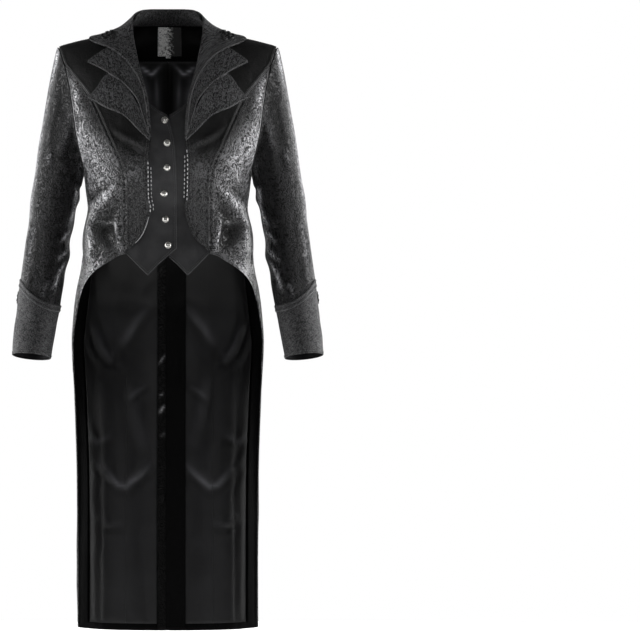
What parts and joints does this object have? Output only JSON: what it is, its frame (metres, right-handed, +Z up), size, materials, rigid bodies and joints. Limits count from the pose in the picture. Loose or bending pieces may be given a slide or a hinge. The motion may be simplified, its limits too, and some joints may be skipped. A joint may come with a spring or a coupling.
{
  "type": "tailcoat",
  "caption": "Fitted tailcoat with fanned lapels, a mock waistcoat front with domed buttons, long vented tails, brocade cuffs and buckled straps at the back waist.",
  "frame": {"origin": "middle of the neck at the height of the shoulder seams, where the wearer holds the coat up", "axes": "+X towards the wearer's left, -Y towards the front, +Z up"},
  "size_m": [0.578, 0.2488, 1.153],
  "materials": {
    "satin": "crinkled satin, bright where it catches the light",
    "brocade": "matt brocade",
    "vest_cloth": "matt twill",
    "lining": "smooth satin",
    "facing": "smooth black satin",
    "label": "woven label",
    "silver": "antique silver",
    "trim": "black soutache"
  },
  "bodies": {
    "root": {"front_left": "satin", "front_right": "satin", "side_front_left": "satin", "side_front_right": "satin", "back_left": "satin", "back_right": "satin", "side_back_left": "satin", "side_back_right": "satin", "top_sleeve_left": "satin", "top_sleeve_right": "satin", "under_sleeve_left": "satin", "under_sleeve_right": "satin", "cuff_left": "brocade", "cuff_right": "brocade", "cuff_band_left": "brocade", "cuff_band_right": "brocade", "collar": "brocade", "collar_stand": "brocade", "lapel_second_left": "brocade", "lapel_second_right": "brocade", "lapel_third_left": "brocade", "lapel_third_right": "brocade", "waistcoat_left": "vest_cloth", "waistcoat_right": "vest_cloth", "button_1": "silver", "button_2": "silver", "button_3": "silver", "button_4": "silver", "button_5": "silver", "button_6": "silver", "strap_left_upper": "satin", "strap_left_lower": "satin", "strap_right_upper": "satin", "strap_right_lower": "satin", "buckle_upper": "silver", "buckle_lower": "silver", "eyelet_upper_1": "silver", "eyelet_upper_2": "silver", "eyelet_upper_3": "silver", "eyelet_lower_1": "silver", "eyelet_lower_2": "silver", "eyelet_lower_3": "silver", "lining_left": "lining", "lining_right": "lining", "neck_facing": "facing", "label": "label", "collar_curl_left": "trim", "collar_curl_right": "trim", "cuff_curl_left": "trim", "cuff_curl_right": "trim"}
  },
  "joints": []
}
